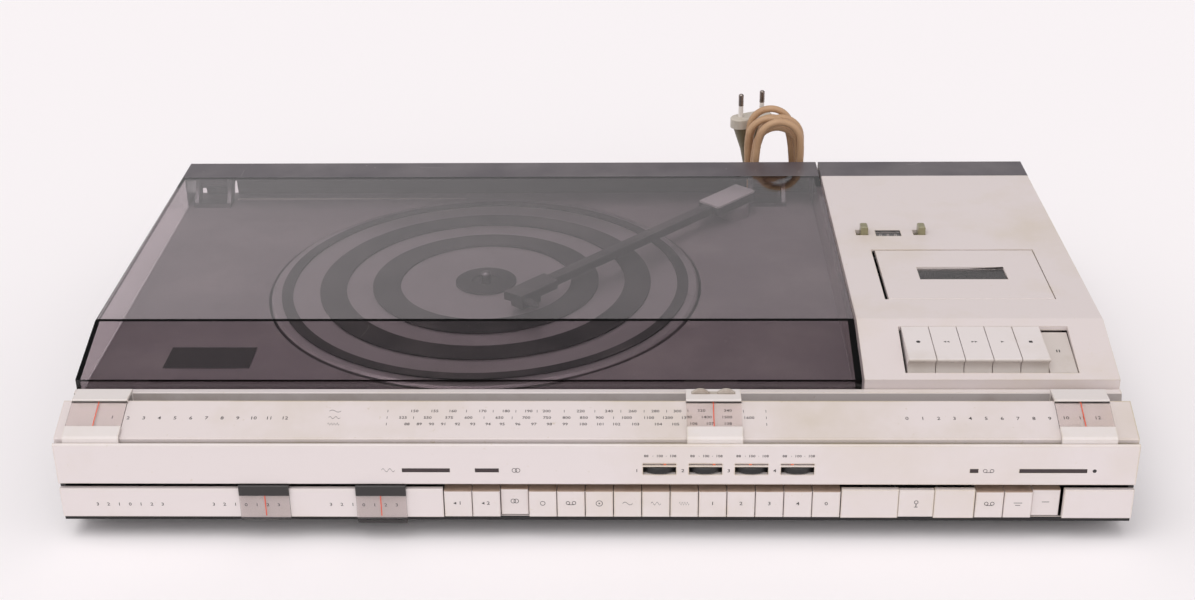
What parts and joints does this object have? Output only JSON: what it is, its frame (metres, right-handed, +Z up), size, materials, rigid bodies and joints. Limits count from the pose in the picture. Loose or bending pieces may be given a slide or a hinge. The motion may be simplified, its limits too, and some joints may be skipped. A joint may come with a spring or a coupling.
{
  "type": "stereo music centre",
  "caption": "Low, wide home music centre: belt-driven record player under a smoked lid, cassette deck, sloping dial with sliding pointers and a row of push keys.",
  "frame": {"origin": "on the surface the set stands on, below the middle of the box round it without its mains lead", "axes": "+X along the front from the record player to the cassette deck, +Y from the front keys to the back, +Z up"},
  "size_m": [0.64, 0.449, 0.13],
  "materials": {
    "dark_case": "dark grey moulded case, fine grain",
    "rubber": "black rubber",
    "front_metal": "pale satin lacquered aluminium, yellowed at the edges",
    "dial_metal": "pale satin lacquered aluminium with black scales",
    "deck_metal": "pale satin lacquered aluminium",
    "front_plastic": "pale moulded plastic",
    "dark_deck": "near-black satin plastic",
    "hinge_steel": "dark plated steel",
    "chassis": "boards, transformer and switch housings",
    "cord_sheath": "tan two-core mains lead",
    "plug_plastic": "grey-beige moulded plug with metal pins",
    "smoked_acrylic": "smoke-grey clear acrylic with a dark rear strip",
    "platter_aluminium": "turned aluminium with dark rubber rings",
    "brass_pulley": "turned brass",
    "arm_metal": "black anodised arm with a bright cap plate",
    "key_plastic": "pale moulded key caps, yellowed tops",
    "slider_plastic": "pale carriers with clear windows and red hairlines",
    "wheel_plastic": "black moulded thumbwheel",
    "pointer_plastic": "orange pointer",
    "lever_plastic": "yellowed clear-grey knob"
  },
  "bodies": {
    "cabinet": {"base_tray": "dark_case", "rubber_feet": "rubber", "rear_panel": "dark_case", "front_panel": "front_metal", "lower_strip": "front_metal", "dial_plate": "dial_metal", "trim_rail": "dial_metal", "deck_cover": "deck_metal", "turntable_plate": "dark_deck", "hinge_brackets": "hinge_steel", "tonearm_base": "dark_deck", "cassette_well": "dark_deck", "inner_chassis": "chassis", "mains_cord": "cord_sheath", "cord_hank": "cord_sheath", "mains_plug": "plug_plastic"},
    "lid_body": {"lid": "smoked_acrylic"},
    "platter_body": {"platter": "platter_aluminium"},
    "motor_pulley_body": {"motor_pulley": "brass_pulley"},
    "tonearm_body": {"tonearm": "arm_metal"},
    "cassette_door_body": {"cassette_door": "deck_metal"},
    "mic_flap_body": {"mic_flap": "front_plastic"},
    "volume_slider_body": {"volume_slider": "slider_plastic"},
    "tuning_slider_body": {"tuning_slider": "slider_plastic"},
    "level_slider_body": {"level_slider": "slider_plastic"},
    "treble_slider_body": {"treble_slider": "slider_plastic"},
    "balance_slider_body": {"balance_slider": "slider_plastic"},
    "program_wheel_1_body": {"program_wheel_1": "wheel_plastic"},
    "program_wheel_2_body": {"program_wheel_2": "wheel_plastic"},
    "program_wheel_3_body": {"program_wheel_3": "wheel_plastic"},
    "program_wheel_4_body": {"program_wheel_4": "wheel_plastic"},
    "program_pointer_1_body": {"program_pointer_1": "pointer_plastic"},
    "program_pointer_2_body": {"program_pointer_2": "pointer_plastic"},
    "program_pointer_3_body": {"program_pointer_3": "pointer_plastic"},
    "program_pointer_4_body": {"program_pointer_4": "pointer_plastic"},
    "speaker_key_1_body": {"speaker_key_1": "key_plastic"},
    "speaker_key_2_body": {"speaker_key_2": "key_plastic"},
    "afc_key_body": {"afc_key": "key_plastic"},
    "mono_key_body": {"mono_key": "key_plastic"},
    "tape_key_body": {"tape_key": "key_plastic"},
    "phono_key_body": {"phono_key": "key_plastic"},
    "long_wave_key_body": {"long_wave_key": "key_plastic"},
    "medium_wave_key_body": {"medium_wave_key": "key_plastic"},
    "fm_key_body": {"fm_key": "key_plastic"},
    "program_key_1_body": {"program_key_1": "key_plastic"},
    "program_key_2_body": {"program_key_2": "key_plastic"},
    "program_key_3_body": {"program_key_3": "key_plastic"},
    "program_key_4_body": {"program_key_4": "key_plastic"},
    "power_key_body": {"power_key": "key_plastic"},
    "tape_motor_key_body": {"tape_motor_key": "key_plastic"},
    "noise_filter_key_body": {"noise_filter_key": "key_plastic"},
    "tape_type_key_body": {"tape_type_key": "key_plastic"},
    "record_key_body": {"record_key": "key_plastic"},
    "rewind_key_body": {"rewind_key": "key_plastic"},
    "forward_key_body": {"forward_key": "key_plastic"},
    "play_key_body": {"play_key": "key_plastic"},
    "stop_key_body": {"stop_key": "key_plastic"},
    "pause_key_body": {"pause_key": "key_plastic"},
    "counter_reset_lever_body": {"counter_reset_lever": "lever_plastic"},
    "memory_lever_body": {"memory_lever": "lever_plastic"}
  },
  "joints": [
    {"name": "lid_hinge", "type": "hinge", "parent": "cabinet", "child": "lid_body", "pos_m": [0, 0.176, 0.084], "axis": [-1, 0, 0], "range_deg": [0, 55]},
    {"name": "platter_spin", "type": "hinge", "parent": "cabinet", "child": "platter_body", "pos_m": [-0.0785, 0.0225, 0], "axis": [0, 0, 1], "continuous": true},
    {"name": "pulley_spin", "type": "hinge", "parent": "cabinet", "child": "motor_pulley_body", "pos_m": [-0.15275, -0.05175, 0], "axis": [0, 0, 1], "continuous": true},
    {"name": "tonearm_swing", "type": "hinge", "parent": "cabinet", "child": "tonearm_body", "pos_m": [0.0982, 0.1443, 0.082], "axis": [0, 0, 1], "range_deg": [-5, 38]},
    {"name": "cassette_door_hinge", "type": "hinge", "parent": "cabinet", "child": "cassette_door_body", "pos_m": [0.24165, 0.0215, 0.09], "axis": [-1, 0, 0], "range_deg": [0, 45]},
    {"name": "mic_flap_hinge", "type": "hinge", "parent": "cabinet", "child": "mic_flap_body", "pos_m": [0.19205, -0.185, 0.0179], "axis": [1, 0, 0], "range_deg": [0, 80]},
    {"name": "volume_slide", "type": "slide", "parent": "cabinet", "child": "volume_slider_body", "axis": [1, 0, 0], "range_m": [0, 0.113]},
    {"name": "tuning_slide", "type": "slide", "parent": "cabinet", "child": "tuning_slider_body", "axis": [1, 0, 0], "range_m": [-0.1946, 0.0312]},
    {"name": "level_slide", "type": "slide", "parent": "cabinet", "child": "level_slider_body", "axis": [1, 0, 0], "range_m": [-0.104, 0.0087]},
    {"name": "treble_slide", "type": "slide", "parent": "cabinet", "child": "treble_slider_body", "axis": [1, 0, 0], "range_m": [-0.0308, 0.0092]},
    {"name": "balance_slide", "type": "slide", "parent": "cabinet", "child": "balance_slider_body", "axis": [1, 0, 0], "range_m": [-0.0295, 0.009]},
    {"name": "speaker_key_1_push", "type": "slide", "parent": "cabinet", "child": "speaker_key_1_body", "axis": [0, 1, 0], "range_m": [0, 0.004], "stiffness_N_per_m": 150, "springref_m": -0.002},
    {"name": "speaker_key_2_push", "type": "slide", "parent": "cabinet", "child": "speaker_key_2_body", "axis": [0, 1, 0], "range_m": [0, 0.004], "stiffness_N_per_m": 150, "springref_m": -0.002},
    {"name": "afc_key_push", "type": "slide", "parent": "cabinet", "child": "afc_key_body", "axis": [0, 1, 0], "range_m": [-0.0025, 0.0015]},
    {"name": "mono_key_push", "type": "slide", "parent": "cabinet", "child": "mono_key_body", "axis": [0, 1, 0], "range_m": [0, 0.004], "stiffness_N_per_m": 150, "springref_m": -0.002},
    {"name": "tape_key_push", "type": "slide", "parent": "cabinet", "child": "tape_key_body", "axis": [0, 1, 0], "range_m": [0, 0.004], "stiffness_N_per_m": 150, "springref_m": -0.002},
    {"name": "phono_key_push", "type": "slide", "parent": "cabinet", "child": "phono_key_body", "axis": [0, 1, 0], "range_m": [0, 0.004], "stiffness_N_per_m": 150, "springref_m": -0.002},
    {"name": "long_wave_key_push", "type": "slide", "parent": "cabinet", "child": "long_wave_key_body", "axis": [0, 1, 0], "range_m": [0, 0.004], "stiffness_N_per_m": 150, "springref_m": -0.002},
    {"name": "medium_wave_key_push", "type": "slide", "parent": "cabinet", "child": "medium_wave_key_body", "axis": [0, 1, 0], "range_m": [0, 0.004], "stiffness_N_per_m": 150, "springref_m": -0.002},
    {"name": "fm_key_push", "type": "slide", "parent": "cabinet", "child": "fm_key_body", "axis": [0, 1, 0], "range_m": [0, 0.004], "stiffness_N_per_m": 150, "springref_m": -0.002},
    {"name": "program_key_1_push", "type": "slide", "parent": "cabinet", "child": "program_key_1_body", "axis": [0, 1, 0], "range_m": [0, 0.004], "stiffness_N_per_m": 150, "springref_m": -0.002},
    {"name": "program_key_2_push", "type": "slide", "parent": "cabinet", "child": "program_key_2_body", "axis": [0, 1, 0], "range_m": [0, 0.004], "stiffness_N_per_m": 150, "springref_m": -0.002},
    {"name": "program_key_3_push", "type": "slide", "parent": "cabinet", "child": "program_key_3_body", "axis": [0, 1, 0], "range_m": [0, 0.004], "stiffness_N_per_m": 150, "springref_m": -0.002},
    {"name": "program_key_4_push", "type": "slide", "parent": "cabinet", "child": "program_key_4_body", "axis": [0, 1, 0], "range_m": [0, 0.004], "stiffness_N_per_m": 150, "springref_m": -0.002},
    {"name": "power_key_push", "type": "slide", "parent": "cabinet", "child": "power_key_body", "axis": [0, 1, 0], "range_m": [0, 0.004], "stiffness_N_per_m": 150, "springref_m": -0.002},
    {"name": "tape_motor_key_push", "type": "slide", "parent": "cabinet", "child": "tape_motor_key_body", "axis": [0, 1, 0], "range_m": [0, 0.004], "stiffness_N_per_m": 150, "springref_m": -0.002},
    {"name": "noise_filter_key_push", "type": "slide", "parent": "cabinet", "child": "noise_filter_key_body", "axis": [0, 1, 0], "range_m": [0, 0.004], "stiffness_N_per_m": 150, "springref_m": -0.002},
    {"name": "tape_type_key_push", "type": "slide", "parent": "cabinet", "child": "tape_type_key_body", "axis": [0, 1, 0], "range_m": [-0.0025, 0.0015]},
    {"name": "record_key_tilt", "type": "hinge", "parent": "cabinet", "child": "record_key_body", "pos_m": [0.241, -0.06, 0.084], "axis": [1, 0, 0], "range_deg": [0, 8], "stiffness_Nm_per_rad": 0.1, "springref_deg": -17.19},
    {"name": "rewind_key_tilt", "type": "hinge", "parent": "cabinet", "child": "rewind_key_body", "pos_m": [0.241, -0.06, 0.084], "axis": [1, 0, 0], "range_deg": [0, 8], "stiffness_Nm_per_rad": 0.1, "springref_deg": -17.19},
    {"name": "forward_key_tilt", "type": "hinge", "parent": "cabinet", "child": "forward_key_body", "pos_m": [0.241, -0.06, 0.084], "axis": [1, 0, 0], "range_deg": [0, 8], "stiffness_Nm_per_rad": 0.1, "springref_deg": -17.19},
    {"name": "play_key_tilt", "type": "hinge", "parent": "cabinet", "child": "play_key_body", "pos_m": [0.241, -0.06, 0.084], "axis": [1, 0, 0], "range_deg": [0, 8], "stiffness_Nm_per_rad": 0.1, "springref_deg": -17.19},
    {"name": "stop_key_tilt", "type": "hinge", "parent": "cabinet", "child": "stop_key_body", "pos_m": [0.241, -0.06, 0.084], "axis": [1, 0, 0], "range_deg": [0, 8], "stiffness_Nm_per_rad": 0.1, "springref_deg": -17.19},
    {"name": "pause_key_tilt", "type": "hinge", "parent": "cabinet", "child": "pause_key_body", "pos_m": [0.241, -0.06, 0.084], "axis": [1, 0, 0], "range_deg": [-8, 0]},
    {"name": "counter_reset_lever_slide", "type": "slide", "parent": "cabinet", "child": "counter_reset_lever_body", "axis": [-1, 0, 0], "range_m": [0, 0.0028]},
    {"name": "memory_lever_slide", "type": "slide", "parent": "cabinet", "child": "memory_lever_body", "axis": [-1, 0, 0], "range_m": [0, 0.0028]},
    {"name": "program_wheel_1_turn", "type": "hinge", "parent": "cabinet", "child": "program_wheel_1_body", "pos_m": [0.0394, -0.1754, 0.0489], "axis": [0, 0, 1], "range_deg": [-193, 89]},
    {"name": "program_pointer_1_slide", "type": "slide", "parent": "cabinet", "child": "program_pointer_1_body", "axis": [1, 0, 0], "range_m": [-0.0122, 0.0058]},
    {"name": "program_wheel_2_turn", "type": "hinge", "parent": "cabinet", "child": "program_wheel_2_body", "pos_m": [0.0666, -0.1754, 0.0489], "axis": [0, 0, 1], "range_deg": [-223, 59]},
    {"name": "program_pointer_2_slide", "type": "slide", "parent": "cabinet", "child": "program_pointer_2_body", "axis": [1, 0, 0], "range_m": [-0.014, 0.004]},
    {"name": "program_wheel_3_turn", "type": "hinge", "parent": "cabinet", "child": "program_wheel_3_body", "pos_m": [0.0937, -0.1754, 0.0489], "axis": [0, 0, 1], "range_deg": [-129, 152]},
    {"name": "program_pointer_3_slide", "type": "slide", "parent": "cabinet", "child": "program_pointer_3_body", "axis": [1, 0, 0], "range_m": [-0.0083, 0.0097]},
    {"name": "program_wheel_4_turn", "type": "hinge", "parent": "cabinet", "child": "program_wheel_4_body", "pos_m": [0.1208, -0.1754, 0.0489], "axis": [0, 0, 1], "range_deg": [-89, 193]},
    {"name": "program_pointer_4_slide", "type": "slide", "parent": "cabinet", "child": "program_pointer_4_body", "axis": [1, 0, 0], "range_m": [-0.0058, 0.0122]}
  ],
  "couplings": [
    {"joint": "pulley_spin", "follows": "platter_spin", "ratio": 16.667},
    {"joint": "program_pointer_1_slide", "follows": "program_wheel_1_turn", "m_per_rad": 0.0035},
    {"joint": "program_pointer_2_slide", "follows": "program_wheel_2_turn", "m_per_rad": 0.0035},
    {"joint": "program_pointer_3_slide", "follows": "program_wheel_3_turn", "m_per_rad": 0.0035},
    {"joint": "program_pointer_4_slide", "follows": "program_wheel_4_turn", "m_per_rad": 0.0035}
  ]
}
